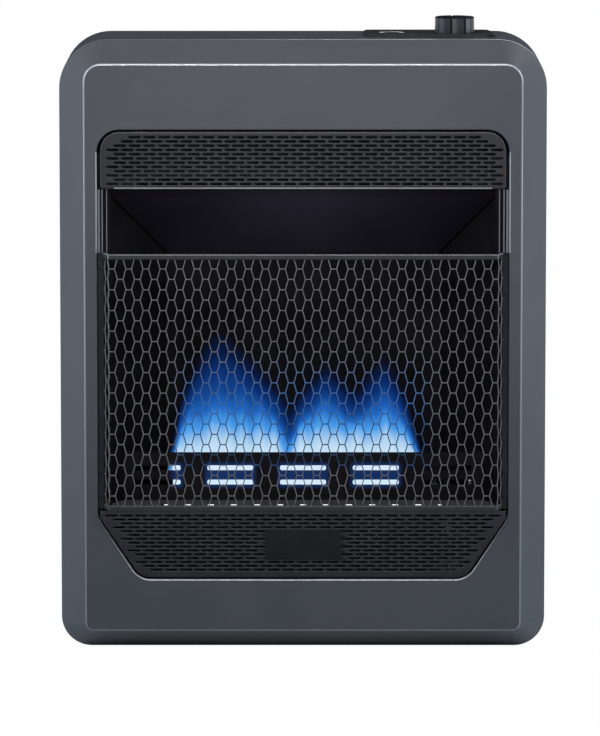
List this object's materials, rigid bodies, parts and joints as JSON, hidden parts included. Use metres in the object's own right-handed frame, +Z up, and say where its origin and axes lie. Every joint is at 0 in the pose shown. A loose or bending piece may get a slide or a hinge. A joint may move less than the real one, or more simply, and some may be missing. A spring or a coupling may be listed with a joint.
{
  "type": "vent-free blue flame gas heater",
  "caption": "Upright vent-free gas room heater with a bevelled sheet-metal casing, perforated grilles, a hexagonal wire guard, an open firebox with a burner, and a push-to-turn knob on top.",
  "frame": {"origin": "on the floor, under the middle of the heater's width and of its whole depth including the guard", "axes": "+Z up, the front with the fire faces -Y, +X is the side with the knob, to the right as seen from the front"},
  "size_m": [0.48, 0.175, 0.622],
  "materials": {
    "grey_enamel": "charcoal grey powder coat, fine satin",
    "black_enamel": "black powder coat",
    "hot_steel": "heat-darkened matt steel",
    "zinc_steel": "zinc plated",
    "brass_fitting": "plain brass",
    "cast_alloy": "as cast",
    "ceramic": "glazed white",
    "gloss_plastic": "gloss black moulding",
    "satin_plastic": "satin black moulding",
    "lead_sleeve": "silicone sleeve"
  },
  "bodies": {
    "heater_body": {"front_panel": "grey_enamel", "cabinet_wrap": "grey_enamel", "back_panel": "grey_enamel", "base_pan": "zinc_steel", "back_screw_1": "zinc_steel", "back_screw_2": "zinc_steel", "back_screw_3": "zinc_steel", "back_screw_4": "zinc_steel", "back_screw_5": "zinc_steel", "back_screw_6": "zinc_steel", "top_screw": "black_enamel", "upper_grille": "black_enamel", "lower_grille": "black_enamel", "guard_top_rail": "black_enamel", "guard_bottom_rail": "black_enamel", "guard_frame_right": "black_enamel", "guard_frame_left": "black_enamel", "guard_mesh": "black_enamel", "firebox_side_right": "hot_steel", "firebox_side_left": "hot_steel", "firebox_back": "hot_steel", "deflector_hood": "hot_steel", "burner_tray": "hot_steel", "burner_shield": "hot_steel", "burner_tube": "hot_steel", "burner_bracket_left": "zinc_steel", "burner_bracket_right": "zinc_steel", "air_shutter": "zinc_steel", "injector_bracket": "zinc_steel", "injector": "brass_fitting", "burner_fitting": "brass_fitting", "pilot_bracket": "zinc_steel", "pilot_burner": "cast_alloy", "thermocouple": "cast_alloy", "spark_electrode": "ceramic", "control_plate": "satin_plastic", "valve_bracket": "zinc_steel", "gas_valve": "cast_alloy", "valve_nut": "brass_fitting", "igniter_housing": "satin_plastic", "igniter_nut": "black_enamel", "regulator": "cast_alloy", "regulator_post": "zinc_steel", "inlet_fitting": "brass_fitting", "supply_pipe": "zinc_steel", "burner_pipe": "zinc_steel", "pilot_pipe": "cast_alloy", "thermocouple_lead": "brass_fitting", "ignition_lead": "lead_sleeve"},
    "valve_plunger": {"valve_plunger": "brass_fitting"},
    "control_knob": {"valve_spindle": "brass_fitting", "control_knob": "gloss_plastic"},
    "igniter_button": {"igniter_button": "satin_plastic"}
  },
  "joints": [
    {"name": "knob_press", "type": "slide", "parent": "heater_body", "child": "valve_plunger", "axis": [0, 0, -1], "range_m": [0, 0.004], "stiffness_N_per_m": 800, "springref_m": -0.003},
    {"name": "knob_turn", "type": "hinge", "parent": "valve_plunger", "child": "control_knob", "pos_m": [0.1505, 0.0325, 0.61], "axis": [0, 0, 1], "range_deg": [0, 210]},
    {"name": "igniter_press", "type": "slide", "parent": "heater_body", "child": "igniter_button", "axis": [0, 0, -1], "range_m": [0, 0.005], "stiffness_N_per_m": 600, "springref_m": -0.002}
  ]
}
